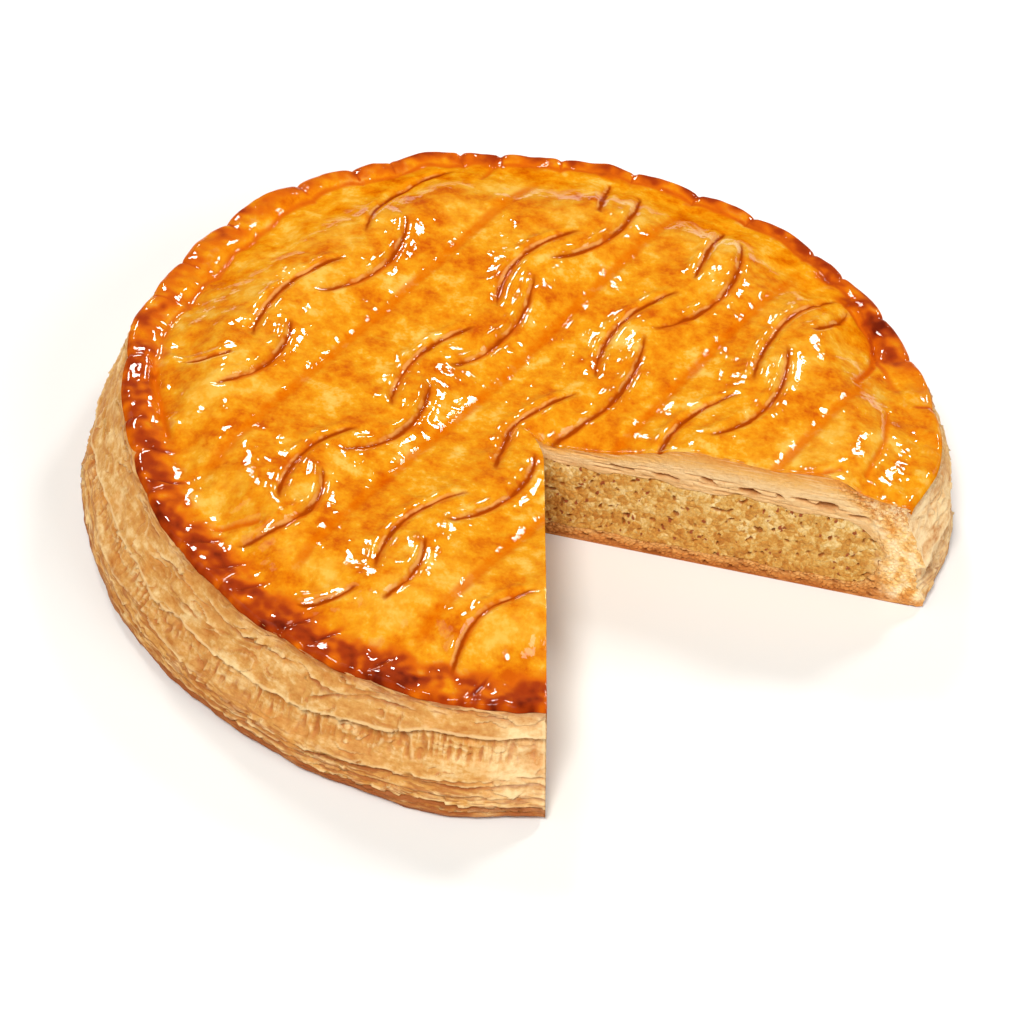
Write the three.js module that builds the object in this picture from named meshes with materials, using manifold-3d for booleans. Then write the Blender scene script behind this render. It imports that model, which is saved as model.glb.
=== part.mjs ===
// A galette des rois with one slice taken out: a round cake of puff pastry baked round
// an almond filling. It is three solids, the pastry base, the almond filling and the
// glazed pastry lid, and the slice is cut out of all three.
//
// Millimetres, +Z up. The cake stands on z = 0 with the middle of its base at the origin.
// The missing slice lies between the -Y and the +X direction.
import * as THREE from 'three';
import { ConvexGeometry } from 'three/addons/geometries/ConvexGeometry.js';
import { mergeVertices } from 'three/addons/utils/BufferGeometryUtils.js';
import Module from 'manifold-3d';

// The round of the cake
const BASE_RADIUS = 130.2;
const GLAZE_RADIUS = 121.8;
const RIM_HEIGHT = 36;
const STEPS_ROUND = 96;

// The layers
const BASE_THICKNESS = 4;
const FILLING_TOP = 29;
const FILLING_RADIUS = 112;
const SEAM_HEIGHT = 20;
const LAYER_GAP = 0.4;

// The dome of the lid: a flat lip, a groove inside it, a raised ring and a lower middle
const LIP_WIDTH = 8;
const GROOVE_DEPTH = 1.3;
const RING_RISE = 7.8;
const RING_INNER_EDGE = 30;
const MIDDLE_SINK = 5;

// The outline: lobes left by the fingers, and a round that is not quite true
const LOBE_COUNT = 34;
const LOBE_DEPTH = 0.9;
const WOBBLE_WIDE = 0.9;
const WOBBLE_NARROW = 0.7;
const SEAM_WANDER = 5;
const SEAM_TURN = 3.75;

// The scores: straight ones across the whole lid, and a twisted chain of curved cuts in
// each band between them
const SCORE_ANGLE = THREE.MathUtils.degToRad(62.4);
const SCORE_SPACING = 42.5;
const SCORE_OFFSETS = [-70, -27.5, 15, 57.5];
const SCORE_WIDTH = 3.4;
const SCORE_DEPTH = 0.9;
const PILLOW_HEIGHT = 1.4;
const CHAINS = [
  { middle: 76.5, start: -10 },
  { middle: 31, start: -8 },
  { middle: -7.5, start: -10 },
  { middle: -46, start: 21 },
];
const CHAIN_PITCH = 56.5;
const CUT_LENGTH = 46;
const CUT_BOW = 6;
const CUT_SPREAD = 2;
const CUT_WIDTH = 2.2;
const CUT_DEPTH = 1.8;
const SCORED_RADIUS = 106;

// The slice: two knife cuts that meet near the middle, the second one leaning
const SLICE_TIP = new THREE.Vector2(1.1, -9.4);
const FIRST_CUT_ANGLE = THREE.MathUtils.degToRad(-3.3);
const SECOND_CUT_ANGLE = THREE.MathUtils.degToRad(-82.3);
const SECOND_CUT_LEAN = 0.105;
const FIRST_CORNER_DRAW = 6;
const SECOND_CORNER_DRAW = 3;
const CORNER_SPAN = THREE.MathUtils.degToRad(5.5);

const { smoothstep } = THREE.MathUtils;

// How far the outline stands out from a true circle in the direction theta
function outlineShift(theta) {
  const lobes = LOBE_DEPTH * Math.cos(LOBE_COUNT * theta);
  const wobble = WOBBLE_WIDE * Math.sin(3 * theta + 0.5) + WOBBLE_NARROW * Math.sin(5 * theta + 2.1);
  return lobes + wobble - cornerDraw(theta, FIRST_CUT_ANGLE, FIRST_CORNER_DRAW)
    - cornerDraw(theta, SECOND_CUT_ANGLE, SECOND_CORNER_DRAW);
}

// The cake is drawn in a little where a cut meets its edge
function cornerDraw(theta, cutAngle, draw) {
  const turn = Math.atan2(Math.sin(theta - cutAngle), Math.cos(theta - cutAngle));
  return draw * Math.exp(-((turn / CORNER_SPAN) ** 2));
}

// The lid's height at a radius, before the scores shape it
function domeHeight(radius) {
  const inward = GLAZE_RADIUS - radius;
  const groove = GROOVE_DEPTH * Math.exp(-(((inward - LIP_WIDTH) / 2.5) ** 2));
  const ring = RING_RISE * smoothstep(inward, LIP_WIDTH, RING_INNER_EDGE);
  const sink = MIDDLE_SINK * smoothstep(inward, 45, GLAZE_RADIUS);
  return RIM_HEIGHT - groove + ring - sink;
}

// Each band between two straight scores is puffed up like a pillow
function pillow(x, y) {
  const across = y * Math.cos(SCORE_ANGLE) - x * Math.sin(SCORE_ANGLE);
  const phase = (across - SCORE_OFFSETS[0]) / SCORE_SPACING;
  const raised = 0.5 - 0.5 * Math.cos(2 * Math.PI * phase);
  return PILLOW_HEIGHT * raised * (1 - smoothstep(Math.hypot(x, y), 85, SCORED_RADIUS));
}

// Bends a plain round into the hand-shaped cake. All layers share it, so they stay
// nested with their gap.
function shapeByHand(geometry) {
  const position = geometry.attributes.position;
  for (let i = 0; i < position.count; i++) {
    const x = position.getX(i);
    const y = position.getY(i);
    const z = position.getZ(i);
    const radius = Math.hypot(x, y);
    const theta = Math.atan2(y, x);
    const bent = radius + outlineShift(theta) * smoothstep(radius, FILLING_RADIUS, GLAZE_RADIUS + 1);
    const newX = bent * Math.cos(theta);
    const newY = bent * Math.sin(theta);
    const midHeight = Math.max(Math.sin(Math.PI * Math.min(z / RIM_HEIGHT, 1)), 0);
    const share = smoothstep(radius, 95, FILLING_RADIUS) * midHeight;
    const wander = SEAM_WANDER * Math.sin(2 * (theta - SEAM_TURN)) * share;
    const lift = pillow(newX, newY) * smoothstep(z, FILLING_TOP + 2, RIM_HEIGHT + 2);
    position.setXYZ(i, newX, newY, z + wander + lift);
  }
}

// Joins the doubled corners of a geometry and drops the triangles that shrink to a line
function weld(geometry) {
  const bare = new THREE.BufferGeometry();
  bare.setAttribute('position', geometry.attributes.position.clone());
  bare.setIndex(geometry.index ? geometry.index.clone() : null);
  const joined = mergeVertices(bare, 1e-4);
  const kept = [];
  for (let i = 0; i < joined.index.count; i += 3) {
    const corners = [0, 1, 2].map((k) => joined.index.getX(i + k));
    if (new Set(corners).size === 3) {
      kept.push(...corners);
    }
  }
  joined.setIndex(kept);
  return joined;
}

// A round layer turned from a closed half profile, standing on +Z, shaped by hand
function turnedLayer(profile) {
  const points = profile.map(([radius, height]) => new THREE.Vector2(radius, height));
  const turned = new THREE.LatheGeometry(points, STEPS_ROUND);
  turned.rotateX(Math.PI / 2);
  const layer = weld(turned);
  shapeByHand(layer);
  return layer;
}

// The face that the base and the lid share with the filling's rounded edge, from the
// bottom up, moved outwards by the gap
function fillingEdge(gap) {
  const foot = BASE_THICKNESS + LAYER_GAP;
  return [
    [FILLING_RADIUS - 8 + gap / 2, foot - gap],
    [FILLING_RADIUS - 2.6 + gap, foot + 2.6 - gap / 2],
    [FILLING_RADIUS + gap, 13],
    [FILLING_RADIUS + gap, SEAM_HEIGHT],
    [FILLING_RADIUS - 2.4 + gap, FILLING_TOP - 3.6 + gap / 2],
    [FILLING_RADIUS - 9 + gap / 2, FILLING_TOP + gap],
  ];
}

// The lid's upper surface from the middle out to the lip
function domeProfile() {
  const radii = [0, 20, 38, 55, 70, 83, 94, 103, 109, 113.5, 117.5];
  return radii.map((radius) => [radius, domeHeight(radius)]);
}

const edge = fillingEdge(0);
const shell = fillingEdge(LAYER_GAP);
const seamTop = SEAM_HEIGHT + LAYER_GAP;

const fillingProfile = [[0, BASE_THICKNESS + LAYER_GAP], ...edge, [0, FILLING_TOP]];

const baseProfile = [
  [0, 0],
  [BASE_RADIUS - 4, 0],
  [BASE_RADIUS - 0.8, 1.8],
  [BASE_RADIUS + 0.4, 7],
  [BASE_RADIUS - 0.2, 13],
  [BASE_RADIUS - 1.6, SEAM_HEIGHT],
  [shell[3][0], SEAM_HEIGHT],
  shell[2],
  shell[1],
  shell[0],
  [0, BASE_THICKNESS],
];

const lidProfile = [
  [0, FILLING_TOP + LAYER_GAP],
  shell[5],
  shell[4],
  [shell[3][0], seamTop],
  [BASE_RADIUS - 1.7, seamTop],
  [BASE_RADIUS - 3.6, 25.5],
  [GLAZE_RADIUS + 2.6, 31],
  [GLAZE_RADIUS + 0.6, 34.2],
  [GLAZE_RADIUS - 0.6, RIM_HEIGHT],
  ...domeProfile().reverse(),
];

// A knife blade's track: a long thin lens that follows a line on the lid
function knifeTrack(length, width, depth, steps, sideways) {
  const lens = weld(new THREE.SphereGeometry(1, 4, steps));
  const position = lens.attributes.position;
  for (let i = 0; i < position.count; i++) {
    const along = position.getY(i);
    const track = sideways(along, length);
    const across = track.across - position.getX(i) * width / 2;
    const x = track.along * Math.cos(SCORE_ANGLE) - across * Math.sin(SCORE_ANGLE);
    const y = track.along * Math.sin(SCORE_ANGLE) + across * Math.cos(SCORE_ANGLE);
    const surface = domeHeight(Math.hypot(x, y)) + pillow(x, y);
    position.setXYZ(i, x, y, surface + position.getZ(i) * depth);
  }
  return lens;
}

function straightScores() {
  return SCORE_OFFSETS.map((across) => {
    const length = 2 * Math.sqrt(SCORED_RADIUS ** 2 - across ** 2);
    const straight = (along) => ({ along: along * length / 2, across });
    return knifeTrack(length, SCORE_WIDTH, SCORE_DEPTH, 8, straight);
  });
}

// The curved cuts of one chain bow outwards in turn to one side and the other
function chainCuts(chain) {
  const cuts = [];
  for (let n = -4; n <= 4; n++) {
    const side = n % 2 === 0 ? 1 : -1;
    const centre = chain.start + n * CHAIN_PITCH / 2;
    const bow = (along) => ({
      along: centre + along * CUT_LENGTH / 2,
      across: chain.middle + side * (CUT_SPREAD + CUT_BOW * Math.cos(along * Math.PI / 2)),
    });
    const reach = Math.max(...[-0.6, 0.6].map((t) => Math.hypot(bow(t).along, bow(t).across)));
    if (reach < SCORED_RADIUS) {
      cuts.push(knifeTrack(CUT_LENGTH, CUT_WIDTH, CUT_DEPTH, 6, bow));
    }
  }
  return cuts;
}

// The block that takes out the slice, taller and longer than the cake
function sliceBlock() {
  const reach = 220;
  const corners = [];
  for (const height of [-10, 60]) {
    const lean = SECOND_CUT_LEAN * (RIM_HEIGHT - height);
    const tip = new THREE.Vector2(SLICE_TIP.x + lean, SLICE_TIP.y);
    for (const angle of [FIRST_CUT_ANGLE, SECOND_CUT_ANGLE]) {
      const along = new THREE.Vector2(Math.cos(angle), Math.sin(angle)).multiplyScalar(reach);
      corners.push(new THREE.Vector3(tip.x + along.x, tip.y + along.y, height));
    }
    corners.push(new THREE.Vector3(tip.x, tip.y, height));
  }
  return weld(new ConvexGeometry(corners));
}

const wasm = await Module();
wasm.setup();

function toSolid(geometry) {
  const mesh = new wasm.Mesh({
    numProp: 3,
    vertProperties: Float32Array.from(geometry.attributes.position.array),
    triVerts: Uint32Array.from(geometry.index.array),
  });
  return new wasm.Manifold(mesh);
}

function toGeometry(solid) {
  const mesh = solid.getMesh();
  const geometry = new THREE.BufferGeometry();
  geometry.setAttribute('position', new THREE.BufferAttribute(mesh.vertProperties, 3));
  geometry.setIndex(new THREE.BufferAttribute(mesh.triVerts, 1));
  geometry.computeVertexNormals();
  return geometry;
}

const slice = toSolid(sliceBlock());

function layerMesh(name, solid, color, roughness) {
  const material = new THREE.MeshStandardMaterial({ color, roughness, metalness: 0 });
  const mesh = new THREE.Mesh(toGeometry(solid.subtract(slice)), material);
  mesh.name = name;
  return mesh;
}

let lid = toSolid(turnedLayer(lidProfile));
for (const track of [...straightScores(), ...CHAINS.flatMap(chainCuts)]) {
  lid = lid.subtract(toSolid(track));
}

const galette = new THREE.Group();
galette.name = 'galette';
galette.add(layerMesh('pastry_base', toSolid(turnedLayer(baseProfile)), 0xd9a25c, 0.85));
galette.add(layerMesh('almond_filling', toSolid(turnedLayer(fillingProfile)), 0xdcb765, 0.9));
galette.add(layerMesh('pastry_lid', lid, 0xe08a24, 0.3));

export default galette;
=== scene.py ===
import math

import bmesh
import bpy
import numpy as np
from mathutils import Matrix, Vector, noise


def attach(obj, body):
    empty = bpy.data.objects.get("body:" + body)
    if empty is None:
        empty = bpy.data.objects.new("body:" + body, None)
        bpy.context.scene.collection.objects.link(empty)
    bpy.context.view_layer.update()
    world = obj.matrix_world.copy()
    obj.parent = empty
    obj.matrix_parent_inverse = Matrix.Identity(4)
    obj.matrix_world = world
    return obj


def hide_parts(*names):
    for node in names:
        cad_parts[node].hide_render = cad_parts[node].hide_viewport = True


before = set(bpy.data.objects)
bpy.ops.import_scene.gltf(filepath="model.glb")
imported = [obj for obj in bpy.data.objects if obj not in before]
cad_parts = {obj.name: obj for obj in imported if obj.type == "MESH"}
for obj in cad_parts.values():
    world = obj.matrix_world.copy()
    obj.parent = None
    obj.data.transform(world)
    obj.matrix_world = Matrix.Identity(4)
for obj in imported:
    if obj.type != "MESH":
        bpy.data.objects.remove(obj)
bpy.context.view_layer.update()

# Sizes are in millimetres and angles in degrees, anticlockwise from +X, unless a name
# says otherwise. The slice is missing between the -Y and the +X direction.
MM = 0.001

# The round of the cake, as the frame has it
BASE_RADIUS = 130.2
GLAZE_RADIUS = 121.8
RIM_HEIGHT = 36.0
SEAM_HEIGHT = 15.0      # where the filling's foot and top close up
FILLING_FOOT = 4.6
FILLING_TOP = 28.6
FILLING_SHARE = 0.905   # how far along a cut the filling reaches
FILLING_CLOSES = 0.80   # where along a cut it starts to close up
RING_RISE = 7.4
MIDDLE_SINK = 4.6
LIP_ROLL = 2.2          # radius of the rounded edge of the glazed skin

# The side runs from one cut round to the other
SIDE_START = -7.5
SIDE_SPAN = 285.0
WALL_SHARE = 0.94       # the share of its rows that stand up; the others turn in under the foot
FOOT_SHARE = 0.06
FOOT_TURN_IN = 4.0
FOOT_INSET = 2.2        # how far inside the foot the underside ends
FLANGE_TURN = 0.7       # the side's ends go behind the cuts by this angle and this depth
FLANGE_DEPTH = 2.5
LEAVES_FROM = 183.0     # the stretch over which the leaves are laid out
LEAVES_TO = 278.0

# The two knife cuts meet at the tip; the second one leans
TIP = np.array([1.1, -9.4])
FIRST_CUT = -3.3
SECOND_CUT = -82.3
SECOND_LEAN = 0.105
GAP_MIDDLE = -43.0
TIP_CURL = 2.4          # how far the lid's tip is bent over to the -X side
CUT_BULGE = 2.6         # how far the second cut bulges into the gap
CUT_RUN = 118.0         # how far that bulge runs from the tip
CUT_GUESS = 122.0       # a first guess at how long a cut is
SECOND_FOOT = 277.0     # azimuth of the second cut's foot

# The scores
SCORE_ANGLE = math.radians(62.4)
SCORE_LINES = (-70.0, -27.5, 15.0, 57.5)
SCORE_SPACING = 42.5
CHAIN_LINES = (76.5, 31.0, -7.5, -46.0)
CURVED_CUTS = (
    # where each cut starts, bows out and ends, as (along, across) the scored bands
    (-51, 90, -48, 84, -43, 80), (-34, 79, -8, 84.5, 13, 78.5), (27, 81, 55, 87.5, 79, 81.5),
    (-58, 75.5, -38, 68.8, -20, 74.5), (-5, 76, 18, 68.2, 42, 75.5),
    (-86, 32, -65, 38.2, -45, 32.5), (-31, 31, -8, 38, 16, 32.5), (27, 32.5, 50, 39, 71, 31.5),
    (82, 32, 94, 37, 105, 41), (-103, 34, -88, 24, -66, 30.5), (-57, 31, -35, 23, -13, 29),
    (-3, 29, 20, 24, 46, 31.5), (54, 32, 76, 23.5, 104, 30),
    (-110, 7, -105, 1, -98, -4), (-91, -5, -68, 0.2, -46, -6.5), (-33, -6, -10, 0, 13, -6.5),
    (21, -7, 45, 0.3, 68, -6.5), (75, -7, 90, -3, 108, 1), (-98, -12.5, -86, -14.2, -71, -9),
    (-61, -9, -41, -15.2, -18, -9.5), (-8, -10, 18, -15.8, 46, -8.5), (49, -9, 70, -16.8, 103, -7),
    (-105, -42, -90, -37.5, -69, -43.5), (4, -40, 22, -37.6, 41, -44), (48, -45, 71, -38.4, 104, -42),
    (19, -47.5, 44, -53.8, 69, -44.5), (80, -46.5, 90, -48.5, 102, -47),
)
CREASES = (
    # dark folds pressed into the lid near the rim: depth, then points (along, across)
    (0.7, (38, -91), (55, -87.5), (69, -80.5)),
    (0.7, (22, -77), (27, -82), (33, -85)),
    (1.0, (73, -67), (86, -65.5), (97, -60), (104, -46)),
    (0.8, (-53, 100), (-62, 92), (-78, 76)),
    (0.8, (-100, 43), (-94, 33)),
    (0.7, (78, 72), (92, 75)),
)

# Notches between the lobes of the rim, and the dark pinched folds at the front
LOBE_NOTCHES = (-14, 15, 26, 35, 45, 51, 62, 71, 81, 92, 101, 107, 118, 124, 133, 147, 158,
                167, 180, 193, 200, 208, 219, 228, 240, 254, 268, 284)
FRONT_FOLDS = (200, 207, 220, 226, 231, 240.5, 245, 254, 268)


def smooth(value, low, high):
    """Rises from 0 at low to 1 at high with soft ends."""
    t = np.clip((value - low) / (high - low), 0.0, 1.0)
    return t * t * (3.0 - 2.0 * t)


def bell(value, width):
    return np.exp(-((value / width) ** 2))


def hills(points, size, seed):
    """Soft random hills about size across at each point, from -1 to 1."""
    spots = (np.asarray(points) / np.asarray(size) + 13.7 * seed).tolist()
    return np.array([noise.noise(spot) for spot in spots])


def path(azimuth, stops):
    """A value that follows the stops (azimuth, value) round the cake."""
    places, values = zip(*stops)
    return np.interp(azimuth, places, values)


def stack(*columns):
    return np.stack(np.broadcast_arrays(*columns), axis=-1)


# ---------------------------------------------------------------- the cake's shape

GROOVE_PLACE = ((-14, 8), (5, 8), (15, 9), (22, 12), (28, 11), (35, 7.5), (45, 6), (60, 5.5),
                (100, 6), (130, 7.5), (142, 11.5), (155, 12.5), (167, 11), (180, 9.5), (200, 10),
                (215, 9), (240, 9), (284, 10))
GROOVE_DEPTH = ((-14, 0.0), (15, 0.1), (25, 0.4), (35, 0.5), (100, 0.5), (130, 0.8), (155, 1.4),
                (180, 1.1), (200, 0.7), (215, 0.3), (284, 0.2))
RIM_RISE = ((-14, 3.4), (2, 3.0), (14, 1.6), (28, 0.0), (284, 0.0))
CUT_DROOP = ((-4, 0.0), (4, 5.0), (17, 3.4), (35, 0.9), (50, 0.0))   # where the first cut pressed the lid

RIM_OUTLINE = ((-14, 119.2), (2, 120.2), (10, 121.8), (24, 122.4), (40, 123.8), (56, 124.8), (64, 124.4),
               (72, 123.2), (84, 123.4), (96, 122.0), (110, 123.6), (120, 122.0), (132, 123.4),
               (146, 122.2), (162, 121.4), (172, 122.4), (185, 120.8), (200, 120.2), (215, 120.8),
               (240, 121.4), (284, 121.8))


def turn_of(x, y):
    """Azimuth in degrees, counted from the middle of the missing slice."""
    return (np.degrees(np.arctan2(y, x)) + 44.0) % 360.0 - 44.0


def lobes(azimuth):
    """How far the rim's lobes stand out, and how near the closest notch is, in degrees."""
    notches = np.array(LOBE_NOTCHES, float)
    after = np.clip(np.searchsorted(notches, azimuth), 1, len(notches) - 1)
    start, end = notches[after - 1], notches[after]
    share = np.clip((azimuth - start) / (end - start), 0.0, 1.0)
    out = (np.sin(math.pi * share) ** 0.6) * np.minimum((end - start) / 10.0, 1.3)
    return out, np.minimum(azimuth - start, end - azimuth)


def corner_draw(azimuth, reach):
    """The edge is drawn in a little where the knife met it."""
    return reach * bell(azimuth + 8.0, 7.0) + 0.5 * reach * bell(azimuth - 277.5, 6.0)


def rim_radius(azimuth):
    out, _ = lobes(azimuth)
    depth = path(azimuth, ((-14, 0.3), (30, 1.6), (150, 1.7), (185, 0.9), (284, 0.8)))
    return path(azimuth, RIM_OUTLINE) + depth * (out - 0.7) - corner_draw(azimuth, 5.5)


def rim_top(azimuth):
    return RIM_HEIGHT + path(azimuth, RIM_RISE)


def bands(x, y):
    """Where a point lies along and across the scored bands."""
    along = x * math.cos(SCORE_ANGLE) + y * math.sin(SCORE_ANGLE)
    across = y * math.cos(SCORE_ANGLE) - x * math.sin(SCORE_ANGLE)
    return along, across


def bowed_line(cut, along):
    """Where a cut runs, by a parabola through its three points, and its slope."""
    u0, v0, u1, v1, u2, v2 = cut
    first = (v1 - v0) / (u1 - u0)
    bend = ((v2 - v1) / (u2 - u1) - first) / (u2 - u0)
    return v0 + (along - u0) * (first + bend * (along - u1)), first + bend * (2 * along - u0 - u1)


def cut_fields(x, y):
    """Signed distance to the nearest curved cut, its strength, and how high a rope stands."""
    along, across = bands(x, y)
    nearest = np.full(x.shape, 9.0)
    strength = np.zeros(x.shape)
    for cut in CURVED_CUTS:
        near = (along > cut[0] - 6) & (along < cut[4] + 6) & (np.abs(across - cut[3]) < 20)
        u, v = along[near], across[near]
        line, slope = bowed_line(cut, np.clip(u, cut[0], cut[4]))
        half = (cut[4] - cut[0]) / 2
        t = (u - cut[0] - half) / half
        gap = (v - line) / np.sqrt(1 + slope ** 2)
        distance = np.hypot(gap, np.maximum(np.abs(t) - 0.97, 0.0) * half)
        closer = distance < np.abs(nearest[near])
        nearest[near] = np.where(closer, np.copysign(distance, gap), nearest[near])
        fading = np.sqrt(np.clip(1 - np.abs(t) ** 3, 0, 1))
        strength[near] = np.where(closer, fading, strength[near])
    rope = np.zeros(x.shape)
    for middle in CHAIN_LINES:
        strand = middle + 2.0 * np.sin((along + 14.0) * math.pi / 28.0)
        rope = np.maximum(rope, bell(across - strand, 5.5))
    return nearest, strength, rope


def crease_field(x, y):
    """Depth of the pressed folds."""
    along, across = bands(x, y)
    depth = np.zeros(x.shape)
    for reach, *points in CREASES:
        for (u0, v0), (u1, v1) in zip(points, points[1:]):
            run = (u1 - u0, v1 - v0)
            t = ((along - u0) * run[0] + (across - v0) * run[1]) / (run[0] ** 2 + run[1] ** 2)
            t = np.clip(t, 0.0, 1.0)
            gap = np.hypot(along - u0 - t * run[0], across - v0 - t * run[1])
            depth = np.maximum(depth, reach * bell(gap, 0.7 + 0.7 * reach))
    return depth


def score_distance(x, y):
    """Signed distance from the nearest straight score."""
    _, across = bands(x, y)
    gaps = across[..., None] - np.array(SCORE_LINES)
    pick = np.argmin(np.abs(gaps), axis=-1)
    return np.take_along_axis(gaps, pick[..., None], axis=-1)[..., 0]


def top_height(x, y):
    """Height of the glazed lid, in full detail."""
    azimuth = turn_of(x, y)
    radius = np.hypot(x, y)
    inward = rim_radius(azimuth) - radius
    flat = stack(x, y, 0.0)
    groove_place = path(azimuth, GROOVE_PLACE) + 1.4 * hills(flat, 9.0, 24)
    _, notch_gap = lobes(azimuth)
    across_notch = notch_gap * np.radians(1) * radius

    shoulder = path(azimuth, ((-14, 22), (25, 22), (45, 31), (125, 31), (150, 22), (284, 22)))
    ring = RING_RISE * smooth(inward, groove_place, groove_place + shoulder)
    sink = MIDDLE_SINK * smooth(inward, 40.0, 121.0)
    uneven = 1.0 + 0.7 * hills(flat, 11.0, 23)
    groove = path(azimuth, GROOVE_DEPTH) * uneven * bell(inward - groove_place, 2.3)
    lip = (path(azimuth, ((-14, 0.1), (40, 0.2), (160, 0.2), (200, 0.1), (284, 0.0)))
           * bell(inward - 0.45 * groove_place, 3.0))
    rim_rise = path(azimuth, RIM_RISE) * (1 - smooth(inward, 8.0, 45.0))
    height = RIM_HEIGHT + rim_rise + ring - sink - groove + lip
    beyond = (x - TIP[0]) * FIRST["along"][0] + (y - TIP[1]) * FIRST["along"][1]
    aside = (TIP[0] - x) * FIRST["normal"][0] + (TIP[1] - y) * FIRST["normal"][1]
    height -= path(beyond, CUT_DROOP) * np.clip(np.minimum(1 - aside / 12.0, 1 + aside / 2.5), 0.0, 1.0) ** 2

    notch_reach = path(azimuth, ((-14, 0.4), (30, 0.9), (100, 0.7), (150, 0.5), (190, 0.7), (284, 0.5)))
    notch_reach = notch_reach * (0.6 + 1.2 * hills(stack(azimuth, 0.0, 0.0), 9.0, 25))
    height -= notch_reach * bell(across_notch, 0.9) * smooth(-inward, -9.0, -1.0)
    for place in FRONT_FOLDS:
        slant = place + 0.25 * (inward - 6.0)
        gap = (azimuth - slant) * np.radians(1) * radius
        height -= 0.9 * bell(gap, 1.0) * bell(inward - 6.0, 4.5)

    inner = smooth(inward, 13.0, 27.0)
    phase = (bands(x, y)[1] - SCORE_LINES[0]) / SCORE_SPACING
    height += 1.1 * inner * (0.5 - 0.5 * np.cos(2 * math.pi * phase))
    score = score_distance(x, y)
    height -= 0.55 * bell(score, 2.0) * inner

    cut, strength, rope = cut_fields(x, y)
    clear = smooth(inward, 5.0, 14.0)
    height += 0.8 * rope * clear
    height += strength * clear * (0.5 * bell(cut - 2.6, 1.5) + 0.35 * bell(cut + 2.3, 1.5))
    height -= 0.85 * strength * clear * bell(cut, 1.5)
    height -= crease_field(x, y)

    puckered = 0.5 * bell(score - 3.0, 2.2) * inner + strength * clear * bell(cut - 3.0, 2.6)
    height += (0.19 + 0.45 * puckered) * hills(flat, 4.2, 1)
    height += 0.5 * hills(flat, 19.0, 2) + 0.28 * hills(flat, 8.0, 3)
    height += 0.03 * hills(flat, 1.6, 4)
    lumpy = path(azimuth, ((-14, 1.0), (25, 0.9), (40, 0.6), (130, 0.6), (150, 0.8), (190, 1.0),
                           (284, 0.9))) * smooth(26.0 - inward, 0.0, 10.0)
    height += lumpy * (0.9 * hills(flat, 8.0, 21) + 0.35 * hills(flat, 3.6, 22))

    roll = np.clip(LIP_ROLL - inward, 0.0, LIP_ROLL)
    return height - LIP_ROLL + np.sqrt(LIP_ROLL ** 2 - roll ** 2)


RIDGE = ((-14, 15), (4, 15), (183, 15.5), (186, 17), (190, 17.2), (199, 20.3), (214, 21.0),
         (220, 19.0), (226, 21.0), (230, 19.6), (246, 20.0), (250, 21.5), (253, 22.6), (258.0, 23.2),
         (262.6, 27.0), (278, 27.4))
LEAVES = (
    # each leaf's step, length up the side and the darkness of the shade painted under it, then its lower edge
    # as (azimuth, height)
    (0.9, 3.5, 0.9, (204.5, 36.0), (207, 32.5), (209, 31.6), (212, 32.2), (216, 31.0)),
    (0.8, 4.0, 0.8, (216, 28.0), (220, 29.4), (224, 30.4)),
    (0.7, 5.0, 0.5, (194, 31.0), (199, 33.5), (204, 33.0)),
    (0.7, 3.0, 0.6, (222, 24.6), (227, 25.6), (232, 25.0)),
    (1.0, 4.5, 0.9, (227, 30.2), (232, 29.2), (236, 28.8), (240, 29.6), (244, 30.0)),
    (0.8, 4.0, 1.0, (245, 29.8), (248, 28.2), (251, 28.8)),
    (0.8, 2.6, 0.8, (246, 23.0), (250, 28.0), (254, 30.0), (261.5, 31.0)),
    (0.6, 2.0, 0.7, (250, 31.6), (254, 31.2), (258, 32.8)),
    (0.8, 3.0, 0.6, (261.5, 34.6), (263, 33.0), (268, 33.6), (272, 33.0), (274, 30.7),
     (276.5, 31.4), (278, 34)),
    (0.5, 1.4, 0.9, (206, 36.4), (218, 35.0), (228, 34.6), (240, 34.0), (250, 33.8),
     (258, 33.2), (262, 34.8), (278, 36.2)),
    (0.4, 1.0, 0.8, (222, 35.8), (240, 35.2), (250, 35.2), (262, 36.0), (278, 37.2)),
    (0.9, 3.4, 0.7, (203, 10.0), (212, 10.2), (217, 11.3), (221, 10.2), (226, 10.0), (230, 8.6),
     (246, 8.2), (251, 10.0), (262, 12.0), (268, 13.2), (278, 15.4)),
    (0.8, 2.4, 1.0, (247, 8.6), (253, 9.8), (261, 11.2), (266, 11.5), (278, 13.0)),
    (0.8, 2.4, 0.7, (183, 7.6), (192, 6.6), (206, 7.2), (228, 6.0), (247, 6.9), (262, 7.5), (267, 8.3),
     (270, 9.2), (274, 8.2), (278, 8.7)),
    (0.9, 2.2, 1.7, (224, 4.0), (236, 4.6), (252, 4.5), (266, 5.7), (278, 5.9)),
    (0.6, 1.6, 0.7, (183, 4.2), (194, 3.6), (206, 4.4), (222, 3.0), (240, 2.9), (258, 3.4), (278, 4.1)),
    (0.5, 1.2, 0.8, (183, 2.0), (206, 1.6), (278, 2.2)),
)
AIR_POCKETS = (
    # azimuth, height, half width, half height, depth
    (255.4, 19.4, 4.2, 3.7, 2.4), (259.6, 20.2, 2.4, 2.4, 1.3), (262.4, 18.0, 1.4, 1.7, 1.2),
    (209.0, 28.0, 7.5, 4.2, 1.3), (225.0, 18.6, 5.0, 3.4, 0.9), (192.0, 11.0, 2.6, 1.8, 1.6),
    (219.0, 26.0, 5.5, 3.0, 0.7), (250.0, 18.5, 3.6, 3.4, 0.8), (261.6, 11.9, 2.0, 0.8, 0.9),
)


def shingle(rise, length):
    """The outward step of a flaky leaf: sharp at its lower edge, fading out above it."""
    return smooth(rise, -0.22, 0.1) * np.clip(1.0 - rise / length, 0.0, 1.0) ** 1.3


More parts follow.
